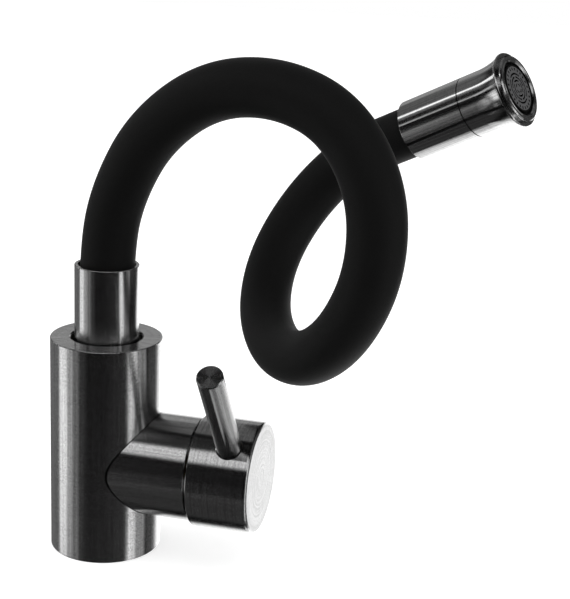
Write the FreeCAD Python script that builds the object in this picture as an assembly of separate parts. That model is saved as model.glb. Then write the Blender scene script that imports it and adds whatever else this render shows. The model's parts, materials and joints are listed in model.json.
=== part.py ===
import FreeCAD, Part
import math
import os

# Single-lever sink mixer with a flexible spout, in millimetres.
# Origin: centre of the deck face under the body. +Z up, +X along the lever branch,
# -Y towards the person at the sink.

os.makedirs("parts", exist_ok=True)

V = FreeCAD.Vector
up = V(0, 0, 1)
along_x = V(1, 0, 0)
along_y = V(0, 1, 0)

# Fits, as radial or end clearances
run_fit = 0.06          # turning or sliding fit
seat_fit = 0.03         # pieces that are pressed or screwed together
seal_fit = 0.02         # O-ring in its groove
end_gap = 0.3           # faces that pass each other
disc_gap = 0.02         # film between the two ceramic discs
groove_play = 0.1       # O-ring groove, each side of the ring
past = 1.0              # cutters run this far past the faces that they open
close = 0.01            # an edge this close to a place is the one meant

# Body and lever branch
body_d = 50.0
body_h = 99.0
body_edge = 0.45
branch_step = 1.8       # the branch is this much slimmer than the body, all round
branch_z = 41.5
branch_end = 44.7
branch_edge = 0.3
mouth_d = 32.0          # wide mouth round the spout
mouth_depth = 14.0
mouth_edge = 0.5         # chamfer round the mouth
spigot_bore_d = 22.0
spigot_bore_depth = 23.0        # below the mouth's floor

# Underside: supplies, stud and seal
supply_thread_wall_d = 9.0      # M10x1
supply_thread_length = 12.0
supply_y = 9.5
supply_bore_d = 8.0
stud_thread_wall_d = 6.8        # M8
stud_thread_length = 15.0
stud_x = 14.0
base_seal_d = 43.0
base_seal_section = 2.0
base_seal_groove_width = 2.6

# Index plug below the branch
index_d = 4.0
index_play = 0.12       # fine ring left open round the plug
index_depth = 1.5
index_z = 21.5
index_angle = -40.5     # direction in plan from +X

# Cartridge, all along the branch axis, x from the body's axis
pocket_floor = 14.0
pocket_d = 35.4
cartridge_d = 35.0
base_plate_t = 6.0
skirt_start = 2.0       # the housing's skirt starts this far above the pocket's floor
disc_t = 3.0
fixed_disc_d = 29.0
moving_disc_d = 23.0
mixing_chamber_d = 14.3
mixing_chamber_depth = 1.5
carrier_d = 24.0
carrier_t = 6.6
carrier_floor_t = 1.0
carrier_mouth = 2.5     # depth of the cone at the mouth of its socket
carrier_lip = 0.5       # the cone's cutter widens until this far above the carrier
housing_wall = 1.2
shoulder_x = 38.0
housing_neck_d = 29.0
rotor_d = 24.0
rotor_flange_d = 31.0
rotor_flange_t = 2.6
rotor_end = 44.4
port_ring = 9.0         # outlet port, distance from the cartridge axis
inlet_y = 8.0
inlet_drop = 5.0
port_d = 6.4
port_seal_section = 1.5
port_seal_recess = 1.3
peg_d = 3.0
peg_depth = 2.0
peg_reach = 14.2
nut_thread_d = 40.0
nut_slots = 4
nut_slot_w = 4.0
nut_slot_depth = 2.0
nut_slot_start = 2.0    # outside the housing's neck
pivot_x = 41.0
pivot_pin_d = 3.0
pivot_pin_recess = 1.2  # its ends lie this far inside the rotor's rim
ball_arm = 10.0
ball_d = 6.0
stem_side = 8.0
stem_foot = 4.0         # the square bar runs this far behind the pivot
stem_neck_d = 4.5
stem_neck_bite = 1.0
stem_end = 66.5
rotor_seal_section = 1.6
rotor_seal_x = 37.5

# Lever: how far it stands from upright towards -Y, and its travel
lever_angle = 40.0
lever_tilt_max = 22.0
knob_d = body_d             # the cap is as wide as the body
knob_wall = 1.4
knob_start = 46.1
knob_end = 73.8
knob_floor_t = 4.5
knob_rim_chamfer = 0.3
knob_face_round = 1.6
hub_d = 24.0
hub_nose_d = 19.0
hub_nose = 4.0
hub_start = 50.5
lever_pin_d = 11.2
lever_pin_reach = 57.3      # stands this far out of the knob
lever_pin_x = 62.2          # where its axis meets the branch axis
lever_pin_lean = 2.0        # degrees, towards the knob's face
lever_pin_edge = 0.5
lever_stud_d = 6.0
lever_stud_length = 3.4
lever_stud_point = 0.5
hub_flat_spare = 0.1        # the hub's flat is this much deeper than the pin's shoulder needs
knob_hole_play = 0.45
grub_hex = 3.0

# Spout: swivelling riser and its spigot
riser_d = 28.6
riser_wall = 1.5
riser_above = 33.0          # stands this far above the body
riser_rim_round = 0.4
bearing_t = 2.0
bearing_play = 0.2
spigot_flange_t = 2.0
spigot_neck = 10.0          # length inside the riser
spigot_tail = 0.8           # its lower end above the bore's floor
spigot_seal_heights = (6.0, 12.0)       # above the bore's floor
spigot_seal_depth = 1.7
spigot_seal_width = 2.1
spigot_way_d = 8.0
retain_height = 18.0        # retaining groove above the bore's floor
retain_groove_w = 5.4
retain_groove_depth = 1.4
retain_screw_d = 5.0
retain_screw_sink = 3.3     # its outer end lies this far under the body's surface
retain_hex = 2.5
retain_socket = 2.6

# Hose: silicone sleeve over a gooseneck core over the water hose
sleeve_d = 24.0
sleeve_bore_d = 18.4
core_d = 18.0
core_bore_d = 12.4
water_hose_d = 12.0
water_hose_bore_d = 8.0
hose_start_z = 116.0
fitting_flange_d = 23.0
fitting_flange_t = 2.5
fitting_hex = 15.0
fitting_hex_t = 5.5
fitting_neck_d = 11.0
fitting_thread_d = 10.0
fitting_thread_length = 7.0
thread_runout = 1.0         # a tapped hole is this much deeper than its thread
fitting_bore_d = 5.0
barb_length = 9.0
barb_crest = 2.0
barb_drop = 0.6
washer_t = 1.5
washer_d = 15.0

# Spray head: base centre of the head on the hose, and where it points
head_base_x = 118.5
head_base_y = 86.6
head_base_z = 188.5
head_azimuth = -18.7
head_elevation = 25.9
head_d = 28.6
head_wall = 1.5
head_length = 56.2
nozzle_length = 24.2        # turning front part, from the seam to the front ring's face
head_edge = 0.4
seam_gap = 0.25
hose_in_head = 12.0
head_core_spigot_d = 20.8
head_core_spigot_length = 9.6
head_way_d = 8.0
head_collar_length = 6.6
circlip_t = 1.0
circlip_depth = 1.4
circlip_stand = 1.2
circlip_opening = 3.0
nozzle_seal_place = 3.2
nozzle_seal_section = 1.5
nozzle_seal_width = 1.9
lip_d = 34.6
lip_t = 1.4
lip_bulge = 0.3             # the lip's rounding stands this far out
flare_length = 12.4         # trumpet, from its start to the lip
flare_end_d = 33.6
front_ring_d = 30.9
front_ring_t = 1.9
front_ring_bevel = 0.5
front_ring_bore_d = 24.8
front_bore_bevel = 0.5
front_groove_d = 27.0       # fine turned groove in its face
front_groove_w = 0.5
front_groove_depth = 0.2
selector_t = 2.0
selector_gap = 0.4
selector_hole_d = 3.0
selector_hole_ring = 13.0
selector_holes = 8
aerator_gasket_t = 0.8
aerator_gasket_w = 2.5
aerator_nose_d = 21.8
aerator_recess = 0.4        # its face lies this far behind the front ring's face
aerator_nose_length = 2.0
aerator_wall = 0.7
aerator_back_t = 1.0
aerator_back_w = 2.0        # ledge at the cup's back, inside its bore
grid_t = 1.0
screen_t = 0.5
screen_back = 2.4           # behind the grid
screen_rings = ((6, 3.4), (12, 7.2))        # number of holes, distance from the axis
screen_hole_d = 1.6
grid_slots = 24
grid_slot_w = 1.0
grid_slot_inner = 8.4
grid_slot_outer = 9.7
grid_ring_gaps = ((1.6, 2.4), (3.2, 4.0), (4.8, 5.6), (6.4, 7.2))
grid_spoke_w = 1.1

# Route of the hose, chosen by eye along its centre line: up out of the riser, over the
# front arch, down and back under itself, and up again to the head
hose_bends = [
    V(0, 0, 141), V(6, -1, 166), V(22, -6, 193), V(49, -12, 213), V(80, -20, 217),
    V(108, -28, 207), V(125, -34, 181), V(126, -34, 149), V(113, -24, 119),
    V(93, -3, 99), V(72, 24, 93), V(57, 53, 103), V(55, 76, 124), V(67, 91, 150),
    V(88, 95, 173),
]
hose_lead_in = 8.0          # straight run before the head
tip_run = 14                # the run on which the tip stretch of the hose starts
arc_share = 0.45            # share of the shorter run that an arc takes

body_r = body_d / 2
branch_d = body_d - 2 * branch_step
branch_r = branch_d / 2
head_seam = head_length - nozzle_length


def cylinder(d, z0, z1, at=V(0, 0, 0)):
    return Part.makeCylinder(d / 2, z1 - z0, V(at.x, at.y, at.z + z0), up)


def ring(d_out, d_in, z0, z1):
    return cylinder(d_out, z0, z1).cut(cylinder(d_in, z0 - past, z1 + past))


def turned(profile):
    # profile: (radius, height) corners, closed, turned about Z
    points = [V(r, 0, z) for r, z in profile]
    wire = Part.makePolygon(points + points[:1])
    return Part.Face(wire).revolve(V(0, 0, 0), up, 360)


def oring(centre_d, section, z):
    return Part.makeTorus(centre_d / 2, section / 2, V(0, 0, z), up)


def hexagon(across_flats, z0, z1):
    corner = across_flats / math.sqrt(3)
    points = [V(corner * math.cos(math.radians(60 * i)), corner * math.sin(math.radians(60 * i)), z0)
              for i in range(7)]
    return Part.Face(Part.makePolygon(points)).extrude(V(0, 0, z1 - z0))


def box(x_size, y_size, z0, z1):
    return Part.makeBox(x_size, y_size, z1 - z0, V(-x_size / 2, -y_size / 2, z0))


def grub_screw(d, length, hex_size, socket):
    # cup point at z = 0, hexagon socket at the far end
    point = min(d / 6, length / 4)
    blank = turned([(0, 0), (d / 2 - point, 0), (d / 2, point), (d / 2, length), (0, length)])
    return blank.cut(hexagon(hex_size, length - socket, length + past))


def rim_edges(shape, radius, height):
    # circular edges of a turned shape at one radius and height
    found = []
    for edge in shape.Edges:
        curve = edge.Curve
        if isinstance(curve, Part.Circle) and abs(curve.Radius - radius) < close:
            if abs(curve.Center.z - height) < close:
                found.append(edge)
    return found


def frame(origin, x_dir, z_dir):
    y_dir = z_dir.cross(x_dir)
    return FreeCAD.Placement(FreeCAD.Matrix(
        x_dir.x, y_dir.x, z_dir.x, origin.x,
        x_dir.y, y_dir.y, z_dir.y, origin.y,
        x_dir.z, y_dir.z, z_dir.z, origin.z,
        0, 0, 0, 1))


def placed(shape, where):
    moved = shape.copy()
    moved.Placement = where.multiply(moved.Placement)
    return moved


def direction(azimuth, elevation):
    a = math.radians(azimuth)
    e = math.radians(elevation)
    return V(math.cos(e) * math.cos(a), math.cos(e) * math.sin(a), math.sin(e))


nodes = {}


def keep(name, shape):
    nodes[name] = shape.removeSplitter() if len(shape.Solids) == 1 else shape


# Frames: along the branch with x up, the same turned to the lever, and along the head
lean = math.radians(lever_angle)
pin_side = V(0, -math.sin(lean), math.cos(lean))
branch_frame = frame(V(0, 0, branch_z), up, along_x)
lever_frame = frame(V(0, 0, branch_z), pin_side, along_x)
head_base = V(head_base_x, head_base_y, head_base_z)
head_axis = direction(head_azimuth, head_elevation)
head_side = direction(head_azimuth + 90, 0)
head_frame = frame(head_base, head_side, head_axis)

# Stations of the cartridge along the branch
base_plate_top = pocket_floor + base_plate_t
moving_disc_x = base_plate_top + disc_t + disc_gap
carrier_x = moving_disc_x + disc_t
carrier_top = carrier_x + carrier_t
rotor_x = carrier_top + end_gap
rotor_flange_top = rotor_x + rotor_flange_t
disc_travel = ball_arm * math.radians(lever_tilt_max)

# Heights of the spout
mouth_floor = body_h - mouth_depth
spigot_bore_floor = mouth_floor - spigot_bore_depth
spigot_flange_z = mouth_floor + bearing_t
riser_z = spigot_flange_z + spigot_flange_t
riser_top = body_h + riser_above
riser_bore_d = riser_d - 2 * riser_wall
spigot_top = riser_z + spigot_neck
spigot_d = spigot_bore_d - 2 * run_fit


def mixer_body():
    post = cylinder(body_d, 0, body_h)
    post = post.makeFillet(body_edge, rim_edges(post, body_r, 0) + rim_edges(post, body_r, body_h))
    arm = cylinder(branch_d, 0, branch_end)
    arm = arm.makeChamfer(branch_edge, rim_edges(arm, branch_r, branch_end))
    solid = post.fuse(placed(arm, branch_frame))

    # cartridge pocket with the nut's wider thread in front of it, and the two peg holes
    pocket = cylinder(pocket_d, pocket_floor, branch_end + past)
    pocket = pocket.fuse(cylinder(nut_thread_d, shoulder_x, branch_end + past))
    for side in (-1, 1):
        peg_hole = cylinder(peg_d + 2 * seat_fit, pocket_floor - peg_depth, pocket_floor + past)
        peg_hole.translate(V(0, side * peg_reach, 0))
        pocket = pocket.fuse(peg_hole)
    # ports: mixed water above the axis, hot and cold below it
    pocket = pocket.fuse(cylinder(supply_bore_d, 0, pocket_floor + past, V(port_ring, 0, 0)))
    for side in (-1, 1):
        port = cylinder(port_d, 0, pocket_floor + past, V(-inlet_drop, side * inlet_y, 0))
        pocket = pocket.fuse(port)
    solid = solid.cut(placed(pocket, branch_frame))

    # spout seat, with the way down to the outlet port
    seat = cylinder(mouth_d, mouth_floor, body_h + past)
    seat = seat.fuse(Part.makeCone(mouth_d / 2, mouth_d / 2 + mouth_edge + past, mouth_edge + past,
                                   V(0, 0, body_h - mouth_edge), up))
    seat = seat.fuse(cylinder(spigot_bore_d, spigot_bore_floor, mouth_floor + past))
    seat = seat.fuse(cylinder(supply_bore_d, branch_z + port_ring, spigot_bore_floor + past))
    solid = solid.cut(seat)

    # retaining screw's tapped hole, at the back
    screw_hole = Part.makeCylinder(retain_screw_d / 2 + seat_fit, body_r + past,
                                   V(0, 0, spigot_bore_floor + retain_height), along_y)
    solid = solid.cut(screw_hole)

    # underside: two supply threads and their risers, the stud's thread, the seal's groove
    for side in (-1, 1):
        foot = V(0, side * supply_y, 0)
        solid = solid.cut(cylinder(supply_thread_wall_d, -past, supply_thread_length, foot))
        solid = solid.cut(cylinder(supply_bore_d, 0, branch_z - inlet_drop, foot))
    solid = solid.cut(cylinder(stud_thread_wall_d, -past, stud_thread_length, V(stud_x, 0, 0)))
    groove_out = base_seal_d + base_seal_groove_width
    groove_in = base_seal_d - base_seal_groove_width
    solid = solid.cut(ring(groove_out, groove_in, -past, base_seal_section))
    return solid.cut(index_plug_blank(0))


def index_plug_blank(play):
    out = direction(index_angle, 0)
    start = V(0, 0, index_z) + out * (body_r - index_depth)
    return Part.makeCylinder(index_d / 2 - play, index_depth + past, start, out)


def index_plug():
    return index_plug_blank(index_play).common(cylinder(body_d, 0, body_h))


def base_seal():
    section = base_seal_section - 2 * seal_fit
    return oring(base_seal_d, section, section / 2)


def spout_bearing():
    return ring(mouth_d - 2 * bearing_play, spigot_bore_d + 2 * bearing_play, mouth_floor, spigot_flange_z)


def retaining_screw():
    foot = spigot_d / 2 - retain_groove_depth + end_gap / 2
    screw = grub_screw(retain_screw_d, body_r - retain_screw_sink - foot, retain_hex, retain_socket)
    return placed(screw, frame(V(0, foot, spigot_bore_floor + retain_height), up, along_y))


def port_centres():
    return [V(port_ring, 0, 0), V(-inlet_drop, inlet_y, 0), V(-inlet_drop, -inlet_y, 0)]


def cartridge_base():
    # clear of the pocket's floor by a little, where the port seals bridge it
    plate = cylinder(cartridge_d, pocket_floor + port_seal_section - port_seal_recess, base_plate_top)
    skirt_bore_d = cartridge_d - 2 * housing_wall - 2 * seat_fit
    skirt = pocket_floor + skirt_start
    plate = plate.cut(ring(cartridge_d + past, skirt_bore_d, skirt, base_plate_top + past))
    for centre in port_centres():
        plate = plate.cut(cylinder(port_d, 0, base_plate_top + past, centre))
        recess_d = port_d + 2 * port_seal_section + 4 * seal_fit
        plate = plate.cut(cylinder(recess_d, 0, pocket_floor + port_seal_section, centre))
    for side in (-1, 1):
        peg = cylinder(peg_d, pocket_floor - peg_depth + end_gap, skirt, V(0, side * peg_reach, 0))
        plate = plate.fuse(peg)
    return placed(plate, branch_frame)


def port_seals():
    rings = []
    for centre in port_centres():
        seal = oring(port_d + port_seal_section, port_seal_section - 2 * seal_fit,
                     pocket_floor + port_seal_section / 2)
        seal.translate(centre)
        rings.append(seal)
    return placed(Part.makeCompound(rings), branch_frame)


def fixed_disc():
    disc = cylinder(fixed_disc_d, base_plate_top, base_plate_top + disc_t)
    for centre in port_centres():
        disc = disc.cut(cylinder(port_d, 0, base_plate_top + disc_t + past, centre))
    return placed(disc, branch_frame)


def moving_disc():
    # blind mixing chamber in the face that rubs on the fixed disc
    disc = cylinder(moving_disc_d, moving_disc_x, moving_disc_x + disc_t)
    chamber = cylinder(mixing_chamber_d, moving_disc_x - past, moving_disc_x + mixing_chamber_depth)
    disc = disc.cut(chamber)
    disc.translate(V(-disc_travel / 2, 0, 0))
    return placed(disc, lever_frame)


def disc_carrier():
    block = cylinder(carrier_d, carrier_x, carrier_top)
    block.translate(V(-disc_travel / 2, 0, 0))
    socket = cylinder(ball_d + 2 * run_fit, carrier_x + carrier_floor_t, carrier_top + past)
    low = carrier_top - carrier_mouth
    high = carrier_top + carrier_lip
    mouth = turned([(0, low), (ball_d / 2, low), (stem_side, high), (0, high)])
    return placed(block.cut(socket).cut(mouth), lever_frame)


def cartridge_housing():
    inner_r = cartridge_d / 2 - housing_wall
    neck_bore_r = rotor_d / 2 + run_fit
    flange_floor = rotor_flange_top + run_fit
    skirt = pocket_floor + skirt_start + seat_fit
    shell = turned([
        (inner_r, skirt), (cartridge_d / 2, skirt),
        (cartridge_d / 2, shoulder_x), (housing_neck_d / 2, shoulder_x),
        (housing_neck_d / 2, rotor_end - end_gap), (neck_bore_r, rotor_end - end_gap),
        (neck_bore_r, flange_floor), (inner_r, flange_floor)])
    return placed(shell, branch_frame)


def cartridge_nut():
    face = branch_end - end_gap
    nut = ring(nut_thread_d - 2 * seat_fit, housing_neck_d + 2 * seat_fit, shoulder_x, face)
    corner = V(housing_neck_d / 2 + nut_slot_start, -nut_slot_w / 2, face - nut_slot_depth)
    for turn in range(nut_slots):
        slot = Part.makeBox(nut_thread_d, nut_slot_w, nut_slot_depth + past, corner)
        slot.rotate(V(0, 0, 0), up, 360 * (turn + 0.5) / nut_slots)
        nut = nut.cut(slot)
    return placed(nut, branch_frame)


def rotor_slot():
    # room for the stem through its tilt, wider away from the pivot
    angle = math.radians(lever_tilt_max)
    half = stem_side / 2

    def reach(x):
        return half / math.cos(angle) + abs(x - pivot_x) * math.tan(angle) + end_gap

    low = rotor_x - past
    high = rotor_end + past
    width = half + end_gap / 2
    right = [V(reach(x), -width, x) for x in (low, pivot_x, high)]
    left = [V(-reach(x), -width, x) for x in (high, pivot_x, low)]
    return Part.Face(Part.makePolygon(right + left + right[:1])).extrude(V(0, 2 * width, 0))


def rotor_seal_root():
    return rotor_d / 2 + run_fit - rotor_seal_section + 2 * seal_fit


def cartridge_rotor():
    rotor = cylinder(rotor_flange_d, rotor_x, rotor_flange_top).fuse(cylinder(rotor_d, rotor_x, rotor_end))
    half = rotor_seal_section / 2 + groove_play
    groove = ring(rotor_d + past, 2 * rotor_seal_root(), rotor_seal_x - half, rotor_seal_x + half)
    rotor = rotor.cut(groove).cut(rotor_slot())
    return placed(rotor.cut(cross_pin(pivot_pin_d / 2 + seat_fit / 2, rotor_d + 2 * past)), lever_frame)


def rotor_seal():
    section = rotor_seal_section - 4 * seal_fit
    return placed(oring(2 * rotor_seal_root() + 2 * seal_fit + section, section, rotor_seal_x), lever_frame)


def cross_pin(radius, length):
    return Part.makeCylinder(radius, length, V(0, -length / 2, pivot_x), along_y)


def pivot_pin():
    return placed(cross_pin(pivot_pin_d / 2, rotor_d - 2 * pivot_pin_recess), lever_frame)


def lever_stem():
    # square bar from the hub to below the pivot, then the neck and the ball that moves the disc
    foot = pivot_x - stem_foot
    ball_x = pivot_x - ball_arm
    bar = box(stem_side, stem_side, foot, stem_end)
    neck = cylinder(stem_neck_d, ball_x, foot + stem_neck_bite)
    stem = bar.fuse(neck).fuse(Part.makeSphere(ball_d / 2, V(0, 0, ball_x)))
    return placed(stem.cut(cross_pin(pivot_pin_d / 2 + run_fit, stem_side + 2 * past)), lever_frame)


def pin_frame():
    # along the lever pin, from the branch axis outwards
    slant = math.radians(lever_pin_lean)
    out = pin_side * math.cos(slant) + along_x * math.sin(slant)
    side = along_x * math.cos(slant) - pin_side * math.sin(slant)
    return frame(V(lever_pin_x, 0, branch_z), side, out)


hub_face = hub_d / 2
pin_end = knob_d / 2 + lever_pin_reach
knob_floor = knob_end - knob_floor_t


def knob_hub():
    hub = cylinder(hub_nose_d, hub_start, hub_start + hub_nose + past)
    hub = hub.fuse(cylinder(hub_d, hub_start + hub_nose, knob_floor))
    side = stem_side + 2 * seat_fit
    hub = placed(hub.cut(box(side, side, hub_start - past, stem_end + end_gap)), lever_frame)
    tapped = cylinder(lever_stud_d + 2 * seat_fit, 0, hub_face + past)
    seat = cylinder(lever_pin_d + 2 * knob_hole_play, hub_face - seat_depth(), hub_face + past)
    return hub.cut(placed(tapped.fuse(seat), pin_frame()))


def seat_depth():
    # flat spot on the round hub, deep enough to carry the pin's whole shoulder
    r = hub_d / 2
    half = lever_pin_d / 2 + knob_hole_play
    return r - math.sqrt(r * r - half * half) + hub_flat_spare


def lever_pin():
    shoulder = hub_face - seat_depth()
    r = lever_pin_d / 2
    stud_r = lever_stud_d / 2
    foot = shoulder - lever_stud_length
    pin = turned([
        (0, foot), (stud_r - lever_stud_point, foot), (stud_r, foot + lever_stud_point), (stud_r, shoulder),
        (r, shoulder), (r, pin_end - lever_pin_edge), (r - lever_pin_edge, pin_end), (0, pin_end)])
    return placed(pin, pin_frame())


def stem_screw():
    length = lever_pin_foot() - screw_foot() - 2 * seat_fit
    screw = grub_screw(lever_stud_d, length, grub_hex, length / 2)
    return placed(screw, pin_frame().multiply(FreeCAD.Placement(V(0, 0, screw_foot()), FreeCAD.Rotation())))


def lever_pin_foot():
    return hub_face - seat_depth() - lever_stud_length


def screw_foot():
    # the screw's point bears on the stem's flat, which the leaning axis meets on a slant
    return stem_side / 2 + lever_stud_d / 2 * math.tan(math.radians(lever_pin_lean)) + 2 * seat_fit


def knob_shell():
    r = knob_d / 2
    bore = r - knob_wall
    cap = turned([
        (bore, knob_start), (r - knob_rim_chamfer, knob_start), (r, knob_start + knob_rim_chamfer),
        (r, knob_end), (0, knob_end), (0, knob_floor), (bore, knob_floor)])
    cap = cap.makeFillet(knob_face_round, rim_edges(cap, r, knob_end))
    cap = placed(cap, lever_frame)
    hole = cylinder(lever_pin_d + 2 * knob_hole_play, hub_face, knob_d)
    return cap.cut(placed(hole, pin_frame()))


def spout_spigot():
    r = spigot_d / 2
    spigot = cylinder(spigot_d, spigot_bore_floor + spigot_tail, spigot_flange_z)
    spigot = spigot.fuse(cylinder(riser_d, spigot_flange_z, riser_z))
    spigot = spigot.fuse(cylinder(riser_bore_d - 2 * seat_fit, riser_z, spigot_top))
    for height in spigot_seal_heights:
        z = spigot_bore_floor + height
        spigot = spigot.cut(ring(spigot_d + past, 2 * (r - spigot_seal_depth), z - spigot_seal_width / 2,
                                 z + spigot_seal_width / 2))
    z = spigot_bore_floor + retain_height
    spigot = spigot.cut(ring(spigot_d + past, 2 * (r - retain_groove_depth), z - retain_groove_w / 2,
                             z + retain_groove_w / 2))
    spigot = spigot.cut(cylinder(spigot_way_d, spigot_bore_floor, spigot_top + past))
    thread_floor = spigot_top - fitting_thread_length - thread_runout
    return spigot.cut(cylinder(fitting_thread_d + 2 * seat_fit, thread_floor, spigot_top + past))


def spigot_seals():
    root = spigot_d / 2 - spigot_seal_depth
    section = spigot_bore_d / 2 - root - 2 * seal_fit
    rings = [oring(2 * root + 2 * seal_fit + section, section, spigot_bore_floor + height)
             for height in spigot_seal_heights]
    return Part.makeCompound(rings)


def riser_tube():
    tube = ring(riser_d, riser_bore_d, riser_z, riser_top)
    return tube.makeFillet(riser_rim_round, rim_edges(tube, riser_d / 2, riser_top))


def hose_fitting(neck_length):
    # z = 0 at the hose's cut end, barb upwards inside the hose, thread downwards
    barb = barb_length
    bore_r = fitting_bore_d / 2
    barb_r = water_hose_bore_d / 2 - seat_fit
    flange = turned([
        (bore_r, barb), (barb_r - barb_drop, barb), (barb_r, barb - barb_crest), (barb_r, 0),
        (fitting_flange_d / 2, 0),
        (fitting_flange_d / 2, -fitting_flange_t), (fitting_neck_d / 2, -fitting_flange_t),
        (fitting_neck_d / 2, -neck_length), (fitting_thread_d / 2, -neck_length),
        (fitting_thread_d / 2, -neck_length - washer_t - fitting_thread_length),
        (bore_r, -neck_length - washer_t - fitting_thread_length)])
    if neck_length > fitting_flange_t + fitting_hex_t:
        nut = hexagon(fitting_hex, -neck_length, -neck_length + fitting_hex_t)
        flange = flange.fuse(nut.cut(cylinder(fitting_bore_d, -neck_length - past, past)))
    return flange


def washer():
    return ring(washer_d, fitting_thread_d + 2 * seat_fit, 0, washer_t)


lower_neck = hose_start_z - spigot_top - washer_t
upper_neck = fitting_flange_t


def head_core():
    # screwed onto the hose's fitting inside the fixed sleeve; the nozzle turns on its spigot
    back = hose_in_head + upper_neck + washer_t
    core = cylinder(head_d - 2 * head_wall - 2 * seat_fit, back, head_seam)
    core = core.fuse(cylinder(head_core_spigot_d, back, head_seam + head_core_spigot_length))
    core = core.cut(cylinder(head_way_d, back - past, head_seam + head_core_spigot_length + past))
    thread_end = back + fitting_thread_length + thread_runout
    core = core.cut(cylinder(fitting_thread_d + 2 * seat_fit, back - past, thread_end))
    z = head_seam + nozzle_seal_place
    r = head_core_spigot_d / 2
    root = r + run_fit - nozzle_seal_section
    core = core.cut(ring(head_core_spigot_d + past, 2 * root, z - nozzle_seal_width / 2,
                         z + nozzle_seal_width / 2))
    z = circlip_z()
    core = core.cut(ring(head_core_spigot_d + past, head_core_spigot_d - 2 * circlip_depth, z - seat_fit,
                         z + circlip_t + seat_fit))
    return placed(core, head_frame)


def circlip_z():
    return head_seam + seam_gap + head_collar_length + end_gap / 2


def nozzle_seal():
    root = head_core_spigot_d / 2 + run_fit - nozzle_seal_section
    section = nozzle_seal_section - 2 * seal_fit
    seal = oring(2 * root + 2 * seal_fit + section, section, head_seam + nozzle_seal_place)
    return placed(seal, head_frame)


def nozzle_circlip():
    # open spring ring in the core's groove, in front of the nozzle's collar
    clip = ring(head_core_spigot_d + 2 * circlip_stand, head_core_spigot_d - 2 * circlip_depth + 2 * seat_fit,
                circlip_z(), circlip_z() + circlip_t)
    corner = V(0, -circlip_opening / 2, circlip_z() - circlip_t)
    opening = Part.makeBox(head_d, circlip_opening, 3 * circlip_t, corner)
    return placed(clip.cut(opening), head_frame)


def head_sleeve():
    sleeve = ring(head_d, head_d - 2 * head_wall, 0, head_seam)
    edges = rim_edges(sleeve, head_d / 2, 0)
    sleeve = sleeve.makeFillet(head_edge, edges)
    return placed(sleeve, head_frame)


front_ring_z = head_length - front_ring_t
cavity_d = head_d - 2 * head_wall


def head_nozzle():
    # turned shell: straight part, trumpet flare, rounded lip, and the collar that turns on the core
    back = head_seam + seam_gap
    collar_end = back + head_collar_length
    lip_start = front_ring_z - lip_t
    flare_start = lip_start - flare_length
    r0 = head_d / 2
    r1 = flare_end_d / 2
    lip_r = lip_d / 2
    corner = [V(head_core_spigot_d / 2 + run_fit, 0, back), V(r0, 0, back), V(r0, 0, flare_start)]
    # the flare is one arc, tangent to the straight part
    spread = r1 - r0
    radius = (flare_length * flare_length + spread * spread) / (2 * spread)
    sweep = math.asin(flare_length / radius) / 2
    flare_mid = V(r0 + radius - radius * math.cos(sweep), 0, flare_start + radius * math.sin(sweep))
    flare_end = V(r1, 0, lip_start)
    lip_low = V(lip_r - lip_bulge, 0, lip_start)
    lip_mid = V(lip_r, 0, lip_start + lip_t / 2)
    lip_high = V(lip_r - lip_bulge, 0, front_ring_z)
    edges = [
        Part.LineSegment(corner[0], corner[1]), Part.LineSegment(corner[1], corner[2]),
        Part.Arc(corner[2], flare_mid, flare_end), Part.LineSegment(flare_end, lip_low),
        Part.Arc(lip_low, lip_mid, lip_high)]
    inner = [lip_high, V(cavity_d / 2, 0, front_ring_z), V(cavity_d / 2, 0, collar_end),
             V(head_core_spigot_d / 2 + run_fit, 0, collar_end), corner[0]]
    edges += [Part.LineSegment(a, b) for a, b in zip(inner, inner[1:])]
    profile = Part.Face(Part.Wire([edge.toShape() for edge in edges]))
    return placed(profile.revolve(V(0, 0, 0), up, 360), head_frame)


def front_ring():
    r = front_ring_d / 2
    bore = front_ring_bore_d / 2
    groove = front_groove_d / 2
    half = front_groove_w / 2
    lip = turned([
        (bore, front_ring_z), (r, front_ring_z), (r, head_length - front_ring_bevel),
        (r - front_ring_bevel, head_length), (groove + half, head_length),
        (groove, head_length - front_groove_depth), (groove - half, head_length),
        (bore + front_bore_bevel, head_length), (bore, head_length - front_bore_bevel)])
    return placed(lip, head_frame)


selector_z = head_seam + head_core_spigot_length + selector_gap
gasket_z = selector_z + selector_t
aerator_z = gasket_z + aerator_gasket_t
aerator_face = head_length - aerator_recess


def selector_disc():
    disc = cylinder(cavity_d - 2 * seat_fit, selector_z, gasket_z)
    for i in range(selector_holes):
        angle = math.radians(360 * i / selector_holes)
        centre = V(math.cos(angle), math.sin(angle), 0) * (selector_hole_ring / 2)
        disc = disc.cut(cylinder(selector_hole_d, selector_z - past, gasket_z + past, centre))
    return placed(disc, head_frame)


def aerator_gasket():
    gasket = ring(cavity_d - 2 * seat_fit, cavity_d - 2 * aerator_gasket_w, gasket_z, aerator_z)
    return placed(gasket, head_frame)


def aerator_housing():
    # cup: wide foot inside the nozzle, nose inside the front ring, open at both ends
    foot_r = cavity_d / 2 - seat_fit
    nose_r = aerator_nose_d / 2
    bore_r = nose_r - aerator_wall
    ledge_r = bore_r - aerator_back_w
    ledge_z = aerator_z + aerator_back_t
    step = aerator_face - aerator_nose_length
    cup = turned([
        (ledge_r, aerator_z), (foot_r, aerator_z), (foot_r, step), (nose_r, step), (nose_r, aerator_face),
        (bore_r, aerator_face), (bore_r, ledge_z), (ledge_r, ledge_z)])
    return placed(cup, head_frame)


def grid_radius():
    return aerator_nose_d / 2 - aerator_wall - seat_fit


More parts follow.
